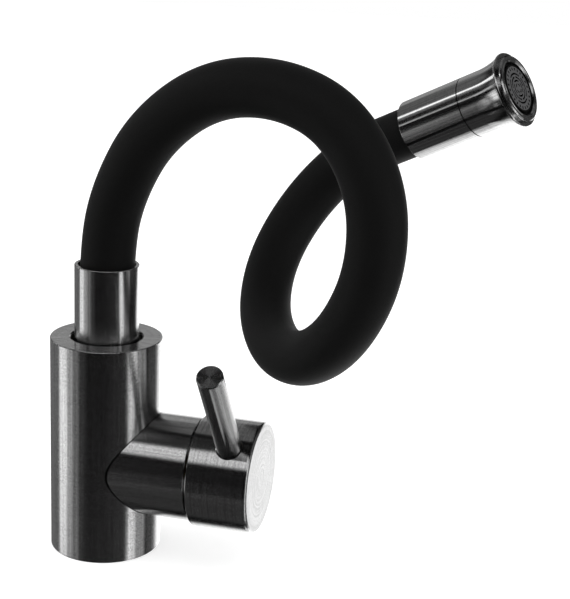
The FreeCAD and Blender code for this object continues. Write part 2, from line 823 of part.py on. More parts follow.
def aerator_screen():
    # flow plate with two rings of holes, behind the grid
    top = aerator_face - grid_t - screen_back
    plate = cylinder(2 * grid_radius(), top - screen_t, top)
    for count, place in screen_rings:
        for i in range(count):
            angle = math.radians(360 * i / count)
            centre = V(math.cos(angle), math.sin(angle), 0) * place
            plate = plate.cut(cylinder(screen_hole_d, top - screen_t - past, top + past, centre))
    return placed(plate, head_frame)


def aerator_grid():
    # face grid: concentric gaps crossed by spokes, inside a band of radial slots
    low = aerator_face - grid_t
    grid = cylinder(2 * grid_radius(), low, aerator_face)
    cutters = []
    for turn, (inner, outer) in enumerate(grid_ring_gaps):
        gap = ring(2 * outer, 2 * inner, low - past, aerator_face + past)
        for quarter in range(2):
            spoke = box(2 * (outer + past), grid_spoke_w, low - 2 * past, aerator_face + 2 * past)
            spoke.rotate(V(0, 0, 0), up, 90 * quarter + 45 * (turn % 2))
            gap = gap.cut(spoke)
        cutters += gap.Solids
    for i in range(grid_slots):
        slot = Part.makeBox(grid_slot_outer - grid_slot_inner, grid_slot_w, grid_t + 2 * past,
                            V(grid_slot_inner, -grid_slot_w / 2, low - past))
        slot.rotate(V(0, 0, 0), up, 360 * i / grid_slots)
        cutters.append(slot)
    return placed(grid.cut(cutters), head_frame)


def hose_route():
    ends = [head_base - head_axis * hose_lead_in, head_base + head_axis * hose_in_head]
    return [V(0, 0, hose_start_z)] + hose_bends + ends


def hose_path():
    # straight runs joined by tangent arcs, returned as the long stretch and the tip stretch
    points = hose_route()
    runs = [(b - a).Length for a, b in zip(points, points[1:])]
    ways = [(b - a).normalize() for a, b in zip(points, points[1:])]
    trims = [0.0]
    radii = []
    for i in range(1, len(runs)):
        trims.append(arc_share * min(runs[i - 1], runs[i]))
    trims.append(0.0)
    long_part, tip_part = [], []
    for i, way in enumerate(ways):
        start = points[i] + way * trims[i]
        end = points[i + 1] - way * trims[i + 1]
        if i == tip_run:
            middle = (start + end) * 0.5
            long_part.append(Part.LineSegment(start, middle).toShape())
            tip_part.append(Part.LineSegment(middle, end).toShape())
        else:
            side = long_part if i < tip_run else tip_part
            side.append(Part.LineSegment(start, end).toShape())
        if i + 1 < len(ways):
            half = way.getAngle(ways[i + 1]) / 2
            radius = trims[i + 1] / math.tan(half)
            radii.append(radius)
            inward = (ways[i + 1] - way).normalize()
            middle = points[i + 1] + inward * (radius / math.cos(half) - radius)
            far = points[i + 1] + ways[i + 1] * trims[i + 1]
            side = long_part if i < tip_run else tip_part
            side.append(Part.Arc(end, middle, far).toShape())
    return long_part, tip_part, radii


def hose_tube(edges, d_out, d_in):
    path = Part.Wire(edges)
    start = edges[0].valueAt(edges[0].FirstParameter)
    way = edges[0].tangentAt(edges[0].FirstParameter)
    solids = []
    for d in (d_out, d_in):
        profile = Part.Wire(Part.Circle(start, way, d / 2).toShape())
        solids.append(path.makePipeShell([profile], True, False))
    tube = solids[0].cut(solids[1])
    section = math.pi * (d_out ** 2 - d_in ** 2) / 4
    print("tube volume over section times length: %.4f" % (tube.Volume / (section * path.Length)))
    return tube


keep("mixer_body", mixer_body())
keep("index_plug", index_plug())
keep("base_seal", base_seal())
keep("spout_bearing", spout_bearing())
keep("spout_retaining_screw", retaining_screw())
keep("cartridge_base", cartridge_base())
keep("port_seals", port_seals())
keep("fixed_disc", fixed_disc())
keep("cartridge_housing", cartridge_housing())
keep("cartridge_nut", cartridge_nut())
keep("cartridge_rotor", cartridge_rotor())
keep("rotor_seal", rotor_seal())
keep("pivot_pin", pivot_pin())
keep("disc_carrier", disc_carrier())
keep("moving_disc", moving_disc())
keep("lever_stem", lever_stem())
keep("knob_hub", knob_hub())
keep("stem_screw", stem_screw())
keep("knob_shell", knob_shell())
keep("lever_pin", lever_pin())
keep("spout_spigot", spout_spigot())
keep("spigot_seals", spigot_seals())
keep("riser_tube", riser_tube())

lower = hose_fitting(lower_neck)
keep("hose_fitting_lower", placed(lower, frame(V(0, 0, hose_start_z), along_x, up)))
keep("hose_washer_lower", placed(washer(), frame(V(0, 0, spigot_top), along_x, up)))
upper = hose_fitting(upper_neck)
hose_end = head_base + head_axis * hose_in_head
keep("hose_fitting_upper", placed(upper, frame(hose_end, head_side, head_axis * -1)))
washer_place = hose_end + head_axis * upper_neck
keep("hose_washer_upper", placed(washer(), frame(washer_place, head_side, head_axis)))

long_edges, tip_edges, hose_radii = hose_path()
print("hose radii:", ["%.0f" % radius for radius in hose_radii])
print("hose length: %.1f" % (Part.Wire(long_edges).Length + Part.Wire(tip_edges).Length))
layers = [("silicone_sleeve", sleeve_d, sleeve_bore_d), ("gooseneck_core", core_d, core_bore_d),
          ("water_hose", water_hose_d, water_hose_bore_d)]
for name, d_out, d_in in layers:
    keep(name, hose_tube(long_edges, d_out, d_in))
    keep(name + "_tip", hose_tube(tip_edges, d_out, d_in))

keep("head_sleeve", head_sleeve())
keep("head_core", head_core())
keep("nozzle_seal", nozzle_seal())
keep("nozzle_circlip", nozzle_circlip())
keep("head_nozzle", head_nozzle())
keep("front_ring", front_ring())
keep("selector_disc", selector_disc())
keep("aerator_gasket", aerator_gasket())
keep("aerator_housing", aerator_housing())
keep("aerator_screen", aerator_screen())
keep("aerator_grid", aerator_grid())

for name, shape in nodes.items():
    if not shape.isValid() or not shape.Solids:
        print("not valid:", name)
    shape.exportStep("parts/%s.step" % name)
print(len(nodes), "nodes")
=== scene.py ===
import math

import bmesh
import bpy
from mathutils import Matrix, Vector
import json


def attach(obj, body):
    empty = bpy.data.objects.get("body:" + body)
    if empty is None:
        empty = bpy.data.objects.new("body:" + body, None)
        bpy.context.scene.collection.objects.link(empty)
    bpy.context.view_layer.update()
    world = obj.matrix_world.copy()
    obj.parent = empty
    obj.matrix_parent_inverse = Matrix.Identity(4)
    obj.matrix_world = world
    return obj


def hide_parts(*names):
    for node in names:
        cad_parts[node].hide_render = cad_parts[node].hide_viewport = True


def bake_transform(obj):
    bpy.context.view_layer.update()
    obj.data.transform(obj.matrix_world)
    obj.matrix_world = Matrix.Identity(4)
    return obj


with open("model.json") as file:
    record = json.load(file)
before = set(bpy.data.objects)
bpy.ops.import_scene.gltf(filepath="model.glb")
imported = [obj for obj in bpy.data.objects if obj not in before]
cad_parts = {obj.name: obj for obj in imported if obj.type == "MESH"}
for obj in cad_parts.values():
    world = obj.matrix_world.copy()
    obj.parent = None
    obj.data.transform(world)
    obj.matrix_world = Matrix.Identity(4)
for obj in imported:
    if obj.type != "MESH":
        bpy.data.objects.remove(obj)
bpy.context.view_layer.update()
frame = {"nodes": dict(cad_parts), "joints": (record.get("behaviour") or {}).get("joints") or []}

# Flexible sink mixer: brushed stainless body and lever, black silicone spout, turned spray head.
# Metres; origin at the centre of the deck face, +Z up, +X along the lever branch.

nodes = frame["nodes"]
joints = {joint["name"]: joint for joint in frame["joints"]}
mm = 0.001


def hexToLinear(code):
    channels = [int(code[i:i + 2], 16) / 255 for i in (1, 3, 5)]
    linear = [c / 12.92 if c <= 0.04045 else ((c + 0.055) / 1.055) ** 2.4 for c in channels]
    return (*linear, 1.0)


def addNode(tree, kind, settings=None, inputs=None):
    node = tree.nodes.new(kind)
    for name, value in (settings or {}).items():
        setattr(node, name, value)
    for name, value in (inputs or {}).items():
        if isinstance(value, bpy.types.NodeSocket):
            tree.links.new(value, node.inputs[name])
        else:
            node.inputs[name].default_value = value
    return node


def emptyTree(owner):
    # the node tree of a new material or world, with nothing in it yet
    owner.use_nodes = True
    owner.node_tree.nodes.clear()
    return owner.node_tree


def newMaterial(name):
    material = bpy.data.materials.new(name)
    tree = emptyTree(material)
    shader = addNode(tree, "ShaderNodeBsdfPrincipled")
    addNode(tree, "ShaderNodeOutputMaterial", None, {"Surface": shader.outputs["BSDF"]})
    return material, tree, shader


def selectOnly(piece):
    bpy.ops.object.select_all(action="DESELECT")
    piece.select_set(True)
    bpy.context.view_layer.objects.active = piece


# Camera, at the photograph's viewing angle

cameraView = {
    "place": (0.21773, -0.53755, 0.27794),
    "turn": (74.530, -2.274, 14.880),        # degrees about X, Y, Z
    "lens": 81.11,
    "sensor": 36.0,                          # along the longer side of the picture
    "clip": (0.01, 20.0),
}


def makeCamera(view):
    bpy.ops.object.camera_add(location=view["place"],
                              rotation=[math.radians(angle) for angle in view["turn"]])
    camera = bpy.context.object
    camera.name = "photoCamera"
    camera.data.sensor_width = view["sensor"]
    camera.data.lens = view["lens"]
    camera.data.clip_start, camera.data.clip_end = view["clip"]
    bpy.context.scene.camera = camera


makeCamera(cameraView)
print("camera placed")


# Axes of the turned pieces

leverLean = {"fromUpright": 40.0, "towardsFace": 2.0,     # degrees
             "crossesBranchAt": 62.2 * mm}
swivel = joints["spout_swivel"]
branch = joints["lever_turn"]
spray = joints["nozzle_turn"]


def leverPinWay(lean):
    back = math.radians(lean["fromUpright"])
    out = math.radians(lean["towardsFace"])
    upright = Vector((0, -math.sin(back), math.cos(back)))
    return upright * math.cos(out) + Vector((1, 0, 0)) * math.sin(out)


branchHeight = branch["pos_m"][2]
postAxis = (Vector((0, 0, 0)), Vector(swivel["axis"]))
branchAxis = (Vector((0, 0, branchHeight)), Vector(branch["axis"]))
pinAxis = (Vector((leverLean["crossesBranchAt"], 0, branchHeight)), leverPinWay(leverLean))
headAxis = (Vector(spray["pos_m"]), Vector(spray["axis"]).normalized())


# A noise seldom leaves the middle of its range, so that middle is stretched over the whole
toneMiddle = (0.32, 0.68)
glossMiddle = (0.3, 0.7)
noiseDetail = {"groove": 2.0, "grain": 3.0, "cloud": 2.0}    # finer copies laid over each noise
grooveRoughness = 0.6    # how strong each finer copy of the grooves is
flatFacing = 0.95        # a face nearer to the axis's way than this cosine is the flat end


def turnedLay(tree, axis):
    # How a lathe or a polishing belt leaves a turned piece: grooves run round its axis. Gives the
    # groove's direction, and a place for a noise that is long round the axis and fine across it.
    centre, way = axis
    sideA = way.orthogonal().normalized()
    sideB = way.cross(sideA)
    place = addNode(tree, "ShaderNodeTexCoord").outputs["Object"]
    arm = addNode(tree, "ShaderNodeVectorMath", {"operation": "SUBTRACT"},
                  {0: place, 1: centre}).outputs[0]
    along = addNode(tree, "ShaderNodeVectorMath", {"operation": "DOT_PRODUCT"},
                    {0: arm, 1: way}).outputs["Value"]
    onAxis = addNode(tree, "ShaderNodeVectorMath", {"operation": "SCALE"},
                     {0: way, "Scale": along}).outputs[0]
    radial = addNode(tree, "ShaderNodeVectorMath", {"operation": "SUBTRACT"},
                     {0: arm, 1: onAxis}).outputs[0]
    radius = addNode(tree, "ShaderNodeVectorMath", {"operation": "LENGTH"},
                     {0: radial}).outputs["Value"]
    outward = addNode(tree, "ShaderNodeVectorMath", {"operation": "NORMALIZE"},
                      {0: radial}).outputs[0]
    groove = addNode(tree, "ShaderNodeVectorMath", {"operation": "CROSS_PRODUCT"},
                     {0: way, 1: outward}).outputs[0]
    lay = {"along": along, "radius": radius, "groove": groove}
    for key, side in (("turnA", sideA), ("turnB", sideB)):
        lay[key] = addNode(tree, "ShaderNodeVectorMath", {"operation": "DOT_PRODUCT"},
                           {0: outward, 1: side}).outputs["Value"]
    return lay


def grooveNoise(tree, lay, pitch, arc):
    # pitch: spacing of the grooves in metres; arc: how far one groove runs round, in radians
    scaled = {}
    for key, size in (("along", pitch), ("radius", pitch), ("turnA", arc), ("turnB", arc)):
        scaled[key] = addNode(tree, "ShaderNodeMath", {"operation": "DIVIDE"},
                              {0: lay[key], 1: size}).outputs[0]
    place = addNode(tree, "ShaderNodeCombineXYZ", None,
                    {"X": scaled["along"], "Y": scaled["radius"], "Z": scaled["turnA"]})
    noise = addNode(tree, "ShaderNodeTexNoise", {"noise_dimensions": "4D"},
                    {"Vector": place.outputs[0], "W": scaled["turnB"], "Scale": 1.0,
                     "Detail": noiseDetail["groove"], "Roughness": grooveRoughness})
    return noise.outputs["Fac"]


def gapTo(tree, value, mark):
    # how far a measure lies from a mark, to either side
    off = addNode(tree, "ShaderNodeMath", {"operation": "SUBTRACT"}, {0: value, 1: mark})
    return addNode(tree, "ShaderNodeMath", {"operation": "ABSOLUTE"}, {0: off.outputs[0]}).outputs[0]


def paintedShadeLine(tree, tone, gap, where, line):
    # paints shade into the tone along a crease or a seam's gap: full up to half the line's width
    # away, none beyond it
    inLine = addNode(tree, "ShaderNodeMapRange", None,
                     {"Value": gap, "From Min": 0.5 * line["width"], "From Max": line["width"],
                      "To Min": 1.0, "To Max": 0.0})
    share = addNode(tree, "ShaderNodeMath", {"operation": "MULTIPLY"},
                    {0: inLine.outputs[0], 1: where})
    return addNode(tree, "ShaderNodeMix", {"data_type": "RGBA"},
                   {"Factor": share.outputs[0], 6: tone, 7: hexToLinear(line["colour"])}).outputs[2]


def branchedLay(tree, lay, branchOff):
    # A branch that is joined on has a lay of its own. Gives the lay of both, how far a point lies
    # from the line where they meet, and whether it is on the branch's side.
    other = turnedLay(tree, branchOff["axis"])
    offBody = addNode(tree, "ShaderNodeMath", {"operation": "GREATER_THAN"},
                      {0: lay["radius"], 1: branchOff["bodyRadius"] + branchOff["skin"]}).outputs[0]
    mixed = {}
    for key in ("along", "radius", "turnA", "turnB"):
        mixed[key] = addNode(tree, "ShaderNodeMix", {"data_type": "FLOAT"},
                             {"Factor": offBody, 2: lay[key], 3: other[key]}).outputs[0]
    mixed["groove"] = addNode(tree, "ShaderNodeMix", {"data_type": "VECTOR"},
                              {"Factor": offBody, 4: lay["groove"], 5: other["groove"]}).outputs[1]
    gap = addNode(tree, "ShaderNodeMath", {"operation": "MAXIMUM"},
                  {0: gapTo(tree, lay["radius"], branchOff["bodyRadius"]),
                   1: gapTo(tree, other["radius"], branchOff["branchRadius"])}).outputs[0]
    onSide = addNode(tree, "ShaderNodeMath", {"operation": "GREATER_THAN"},
                     {0: other["along"], 1: 0.0}).outputs[0]
    return mixed, gap, onSide


def grainSurface(tree, shader, grain, look):
    # one pattern gives both the gloss and the relief
    rough = addNode(tree, "ShaderNodeMapRange", None,
                    {"Value": grain, "From Min": glossMiddle[0], "From Max": glossMiddle[1],
                     "To Min": look["rough"][0], "To Max": look["rough"][1]})
    bump = addNode(tree, "ShaderNodeBump", None,
                   {"Strength": look["bump"], "Distance": look["depth"], "Height": grain})
    tree.links.new(rough.outputs[0], shader.inputs["Roughness"])
    tree.links.new(bump.outputs[0], shader.inputs["Normal"])


def acrossGrooves(tree, groove):
    # the way in which a highlight is drawn out: along the skin, square to the grooves
    grooveWorld = addNode(tree, "ShaderNodeVectorTransform",
                          {"vector_type": "VECTOR", "convert_from": "OBJECT", "convert_to": "WORLD"},
                          {"Vector": groove})
    normal = addNode(tree, "ShaderNodeNewGeometry").outputs["Normal"]
    return addNode(tree, "ShaderNodeVectorMath", {"operation": "CROSS_PRODUCT"},
                   {0: grooveWorld.outputs[0], 1: normal}).outputs[0]


def brushedSteel(name, look, axis, branchOff=None):
    # Brushed by a belt while it turned, so its highlights stretch across the grooves. A body with a
    # branch joined on has a second lay on the branch, and a fine line of painted shade in the crease
    # where they meet.
    material, tree, shader = newMaterial(name)
    lay = turnedLay(tree, axis)
    if branchOff:
        lay, creaseDistance, branchSide = branchedLay(tree, lay, branchOff)
    grooves = grooveNoise(tree, lay, look["pitch"], look["arc"])
    bands = grooveNoise(tree, lay, look["bandPitch"], look["bandArc"])
    lines = grooveNoise(tree, lay, look["linePitch"], look["lineArc"])
    mottle = 0.0
    for share, pattern in zip(look["mottle"], (grooves, bands, lines)):
        part = addNode(tree, "ShaderNodeMapRange", None,
                       {"Value": pattern, "From Min": toneMiddle[0], "From Max": toneMiddle[1],
                        "To Max": share})
        mottle = addNode(tree, "ShaderNodeMath", {"operation": "ADD"},
                         {0: part.outputs[0], 1: mottle}).outputs[0]
    tone = addNode(tree, "ShaderNodeMix", {"data_type": "RGBA"},
                   {"Factor": mottle, 6: hexToLinear(look["dark"]),
                    7: hexToLinear(look["light"])}).outputs[2]
    # painted shade: a dark line in the crease at the branch's foot
    if branchOff:
        tone = paintedShadeLine(tree, tone, creaseDistance, branchSide, branchOff["line"])
    # painted shade in the gap of the seam, on the outside only
    if "seam" in look:
        seam = look["seam"]
        outside = addNode(tree, "ShaderNodeMath", {"operation": "GREATER_THAN"},
                          {0: lay["radius"], 1: seam["outside"]}).outputs[0]
        tone = paintedShadeLine(tree, tone, gapTo(tree, lay["along"], seam["at"]), outside, seam)
    tree.links.new(tone, shader.inputs["Base Color"])
    shader.inputs["Metallic"].default_value = 1.0
    shader.inputs["Anisotropic"].default_value = look["stretch"]
    grainSurface(tree, shader, grooves, look)

    groove = lay["groove"]
    if "faceGround" in look:
        # the flat end was ground straight across instead, so it has no bow-tie highlight
        skin = addNode(tree, "ShaderNodeTexCoord").outputs["Normal"]
        ahead = addNode(tree, "ShaderNodeVectorMath", {"operation": "DOT_PRODUCT"},
                        {0: skin, 1: axis[1]}).outputs["Value"]
        flat = addNode(tree, "ShaderNodeMath", {"operation": "GREATER_THAN"},
                       {0: ahead, 1: flatFacing}).outputs[0]
        groove = addNode(tree, "ShaderNodeMix", {"data_type": "VECTOR"},
                         {"Factor": flat, 4: groove, 5: look["faceGround"]}).outputs[1]
    tree.links.new(acrossGrooves(tree, groove), shader.inputs["Tangent"])
    return material


def plainFinish(name, look, front=None):
    # Moulded, cast or lapped pieces: an even colour with fine grain in gloss and surface.
    # Front is an axis and how far along it the face lies; behind that face, in the slots, painted
    # shade darkens the colour.
    material, tree, shader = newMaterial(name)
    place = addNode(tree, "ShaderNodeTexCoord").outputs["Object"]
    patterns = {}
    for key in ("grain", "cloud"):
        patterns[key] = addNode(tree, "ShaderNodeTexNoise", None,
                                {"Vector": place, "Scale": 1 / look[key],
                                 "Detail": noiseDetail[key]}).outputs["Fac"]
    tone = addNode(tree, "ShaderNodeMix", {"data_type": "RGBA"},
                   {"Factor": patterns["cloud"], 6: hexToLinear(look["dark"]),
                    7: hexToLinear(look["light"])}).outputs[2]
    if front:
        centre, way = front["axis"]
        back = addNode(tree, "ShaderNodeVectorMath", {"operation": "SUBTRACT"},
                       {0: centre + way * front["face"], 1: place}).outputs[0]
        behind = addNode(tree, "ShaderNodeVectorMath", {"operation": "DOT_PRODUCT"},
                         {0: back, 1: way}).outputs["Value"]
        # painted shade: the deeper behind the face, the nearer the colour comes to near black
        slotShadeShare = addNode(tree, "ShaderNodeMapRange", None,
                         {"Value": behind, "From Min": front["slotShadeFrom"],
                          "From Max": front["slotShadeTo"]}).outputs[0]
        tone = addNode(tree, "ShaderNodeMix", {"data_type": "RGBA"},
                       {"Factor": slotShadeShare, 6: tone, 7: hexToLinear(look["slot"])}).outputs[2]
    tree.links.new(tone, shader.inputs["Base Color"])
    for key, socket in (("metallic", "Metallic"), ("ior", "IOR"), ("gloss", "Specular IOR Level"),
                        ("sheen", "Sheen Weight"), ("sheenRough", "Sheen Roughness")):
        if key in look:
            shader.inputs[socket].default_value = look[key]
    grainSurface(tree, shader, patterns["grain"], look)
    return material


# Stainless steel: a cool mid grey whose highlights are drawn out into soft stripes
bodySteel = {
    "dark": "#8a8a8a", "light": "#d4d4d4",
    "pitch": 0.4 * mm, "arc": 0.028,         # belt marks are finer; drawn this coarse to show
    "bandPitch": 0.9 * mm, "bandArc": 2.5,   # faint rings left by the lathe
    "linePitch": 60 * mm, "lineArc": 0.05,   # faint lines along the drawn bar
    "mottle": (0.55, 0.1, 0.35),             # share of each in the tone
    "rough": (0.16, 0.22), "stretch": 0.95, "bump": 0.1, "depth": 0.01 * mm,
}
branchJoint = {                              # the branch's own lay, and a line of painted shade in the crease round its foot
    "axis": branchAxis, "bodyRadius": 25.0 * mm, "branchRadius": 23.2 * mm,
    "skin": 0.03 * mm,                       # what stands further out than this is the branch
    # painted shade in the crease where branch and body meet
    "line": {"width": 0.24 * mm, "colour": "#202020"},
}

# Knob: brushed round its side, with soft arcs on an end that was ground straight across
knobSteel = dict(bodySteel, mottle=(0.5, 0.35, 0.15), faceGround=(0, 0, 1))

# Lever: the same bar stock, brushed a little duller
leverSteel = dict(bodySteel, rough=(0.18, 0.24))

# Spray head: satin turned, so smoother and crisper, with a dark line of painted shade in the gap of
# the seam between sleeve and nozzle
headSteel = dict(bodySteel, rough=(0.13, 0.17), stretch=0.9, mottle=(0.3, 0.1, 0.6),
                 seam={"at": -7.9 * mm, "outside": 13.6 * mm, "width": 0.34 * mm,
                       "colour": "#161616"})

# Front ring: nearly polished, so it catches thin bright arcs
ringSteel = dict(bodySteel, rough=(0.14, 0.2), stretch=0.5, bump=0.04, mottle=(0.2, 0.1, 0.7))

# Drawn steel of the hidden pieces: duller, with broad soft highlights
innerSteel = dict(bodySteel, rough=(0.3, 0.4), stretch=0.4)

# Turned brass: warm yellow metal with fine rings
turnedBrass = dict(bodySteel, dark="#a98a4a", light="#c4a662", rough=(0.25, 0.35), stretch=0.4)

steelPost = brushedSteel("brushedStainlessBody", bodySteel, postAxis, branchJoint)
steelRiser = brushedSteel("brushedStainlessRiser", bodySteel, postAxis)
steelKnob = brushedSteel("brushedStainlessKnob", knobSteel, branchAxis)
steelPin = brushedSteel("brushedStainlessLever", leverSteel, pinAxis)
steelHead = brushedSteel("satinStainlessHead", headSteel, headAxis)
steelRing = brushedSteel("polishedStainlessRing", ringSteel, headAxis)
steelInner = brushedSteel("drawnSteel", innerSteel, branchAxis)
brassBranch = brushedSteel("turnedBrassBranch", turnedBrass, branchAxis)
brassPost = brushedSteel("turnedBrassPost", turnedBrass, postAxis)
brassHead = brushedSteel("turnedBrassHead", turnedBrass, headAxis)

# Extruded silicone: matt, near black, with a soft bloom at grazing light
silicone = plainFinish("mattBlackSilicone", {
    "dark": "#0b0b0b", "light": "#0e0e0e", "grain": 0.35 * mm, "cloud": 18 * mm,
    "rough": (0.62, 0.74), "ior": 1.41, "gloss": 0.3, "sheen": 0.05, "sheenRough": 0.4,
    "bump": 0.15, "depth": 0.03 * mm})

# Moulded nitrile rubber: dull black
nitrile = plainFinish("mouldedNitrileRubber", {
    "dark": "#0d0d0d", "light": "#151515", "grain": 0.3 * mm, "cloud": 5 * mm,
    "rough": (0.45, 0.6), "ior": 1.52, "bump": 0.1, "depth": 0.02 * mm})

# Moulded acetal: waxy off-white; grey in the spray face, with painted shade that makes its slots
# black; and black
acetal = plainFinish("mouldedAcetal", {
    "dark": "#dcdad4", "light": "#e8e6e0", "grain": 0.3 * mm, "cloud": 6 * mm,
    "rough": (0.35, 0.45), "ior": 1.48, "bump": 0.08, "depth": 0.02 * mm})
gridFace = max((vertex.co - headAxis[0]).dot(headAxis[1])
               for vertex in nodes["aerator_grid"].data.vertices)
# how deep behind the spray face the painted shade in the slots begins and is full
gridFront = {"axis": headAxis, "face": gridFace, "slotShadeFrom": 0.04 * mm, "slotShadeTo": 0.25 * mm}
greyAcetal = plainFinish("mouldedGreyAcetal", {
    # the slot colour is painted shade, near black
    "dark": "#525253", "light": "#606061", "slot": "#020202", "grain": 0.2 * mm, "cloud": 3 * mm,
    "rough": (0.4, 0.5), "ior": 1.48, "gloss": 0.3, "bump": 0.08, "depth": 0.02 * mm}, gridFront)
blackAcetal = plainFinish("mouldedBlackAcetal", {
    "dark": "#060606", "light": "#0a0a0a", "grain": 0.2 * mm, "cloud": 3 * mm,
    "rough": (0.5, 0.6), "ior": 1.48, "gloss": 0.3, "bump": 0.08, "depth": 0.02 * mm})

# Lapped alumina: smooth and ivory, with a clear gloss
ceramic = plainFinish("lappedAlumina", {
    "dark": "#e4ded2", "light": "#efeade", "grain": 0.2 * mm, "cloud": 4 * mm,
    "rough": (0.1, 0.18), "ior": 1.77, "bump": 0.03, "depth": 0.01 * mm})

# Extruded hose plastic: milky and smooth
clearHose = plainFinish("extrudedHosePlastic", {
    "dark": "#c4c5c1", "light": "#d4d5d1", "grain": 0.3 * mm, "cloud": 10 * mm,
    "rough": (0.3, 0.4), "ior": 1.5, "bump": 0.05, "depth": 0.02 * mm})

# Blackened steel: dark metal with a dull gleam
blackScrew = plainFinish("blackenedScrewSteel", {
    "dark": "#232324", "light": "#2e2e30", "grain": 0.15 * mm, "cloud": 1 * mm,
    "rough": (0.35, 0.5), "metallic": 1.0, "bump": 0.15, "depth": 0.02 * mm})
print("materials made")

finishOf = {
    "mixer_body": steelPost, "index_plug": steelPost, "riser_tube": steelRiser,
    "knob_shell": steelKnob, "lever_pin": steelPin,
    "head_sleeve": steelHead, "head_nozzle": steelHead, "nozzle_circlip": steelHead,
    "front_ring": steelRing,
    "aerator_grid": greyAcetal, "aerator_housing": blackAcetal, "aerator_screen": blackAcetal,
    "selector_disc": blackAcetal,
    "spout_bearing": acetal, "cartridge_base": acetal, "cartridge_housing": acetal,
    "cartridge_rotor": acetal, "disc_carrier": acetal,
    "fixed_disc": ceramic, "moving_disc": ceramic,
    "cartridge_nut": brassBranch, "lever_stem": brassBranch,
    "spout_spigot": brassPost, "hose_fitting_lower": brassPost,
    "hose_fitting_upper": brassHead, "head_core": brassHead,
    "knob_hub": steelInner, "pivot_pin": steelInner,
    "stem_screw": blackScrew, "spout_retaining_screw": blackScrew,
}
for name in ("base_seal", "port_seals", "rotor_seal", "spigot_seals", "nozzle_seal",
             "hose_washer_lower", "hose_washer_upper", "aerator_gasket"):
    finishOf[name] = nitrile
for name, material in finishOf.items():
    mesh = nodes[name].data
    mesh.materials.clear()
    mesh.materials.append(material)
print("finishes given to", len(finishOf), "nodes")


# Hose: silicone sleeve, wound core and water hose on one smooth line

hose = {
    "start": (0, 0, 116),            # points in mm
    "bends": [
        (0, 0, 141), (6, -1, 166), (22, -6, 193), (49, -12, 213), (80, -20, 217),
        (108, -28, 207), (125, -34, 181), (126, -34, 149), (113, -24, 119),
        (93, -3, 99), (72, 24, 93), (57, 53, 103), (55, 76, 124), (67, 91, 150),
        (88, 95, 173),
    ],
    "headBase": (118.5, 86.6, 188.5),
    "leadIn": 8.0 * mm,              # straight before the head
    "inHead": 12.0 * mm,
    "tipAfter": (67, 91, 150),       # the tip stretch, made as pieces of its own, starts after this point
    "blendAfter": 6 * mm,            # a blend into the head's bending would start this far into that stretch
    "blendBefore": 4 * mm,           # and end this far before the head
    "order": 3,                      # of the NURBS line
    "steps": 18,                     # samples to a span
}
sleeveLook = {"outer": 12.0 * mm, "inner": 9.2 * mm, "sides": 96}
coreLook = {"outer": 9.0 * mm, "inner": 6.3 * mm, "sides": 40,
            "pitch": 3.2 * mm, "groove": 0.5 * mm,
            "narrowing": 3}          # a higher one makes the groove narrower
waterLook = {"outer": 5.9 * mm, "inner": 4.0 * mm, "sides": 32}
smoothAngle = math.radians(50)


def hosePoints(look):
    base = Vector(look["headBase"]) * mm
    way = headAxis[1]
    points = [Vector(point) * mm for point in [look["start"]] + look["bends"]]
    return points + [base - way * look["leadIn"], base + way * look["inHead"]]


def smoothLine(points, look):
    # centre line of the hose, read from a NURBS spline
    data = bpy.data.curves.new("hoseLine", "CURVE")
    data.dimensions = "3D"
    spline = data.splines.new("NURBS")
    spline.points.add(len(points) - 1)
    for knot, point in zip(spline.points, points):
        knot.co = (*point, 1.0)
    spline.order_u = look["order"]
    spline.use_endpoint_u = True
    spline.resolution_u = look["steps"]
    holder = bpy.data.objects.new("hoseLine", data)
    bpy.context.scene.collection.objects.link(holder)
    bpy.context.view_layer.update()
    mesh = bpy.data.meshes.new_from_object(holder)
    line = [vertex.co.copy() for vertex in mesh.vertices]
    bpy.data.objects.remove(holder)
    bpy.data.meshes.remove(mesh)
    return line


def lineLength(line):
    return sum((a - b).length for a, b in zip(line, line[1:]))


def lineFrames(line):
    # a place, a way and a side at each sample; the side is carried along without twist
    frames = []
    side = Vector((1, 0, 0))
    for i, place in enumerate(line):
        before = line[max(i - 1, 0)]
        after = line[min(i + 1, len(line) - 1)]
        way = (after - before).normalized()
        side = (side - way * side.dot(way)).normalized()
        frames.append((place, way, side))
    return frames


def outerRadius(look, startRun):
    # a wound core is made from a profile, so its outside rises and falls once a turn
    def radius(run, turn):
        if "pitch" not in look:
            return look["outer"]
        phase = ((run + startRun) / look["pitch"] - turn / (2 * math.pi)) % 1.0
        wave = 0.5 + 0.5 * math.cos(2 * math.pi * phase)
        return look["outer"] - look["groove"] * wave ** look["narrowing"]
    return radius


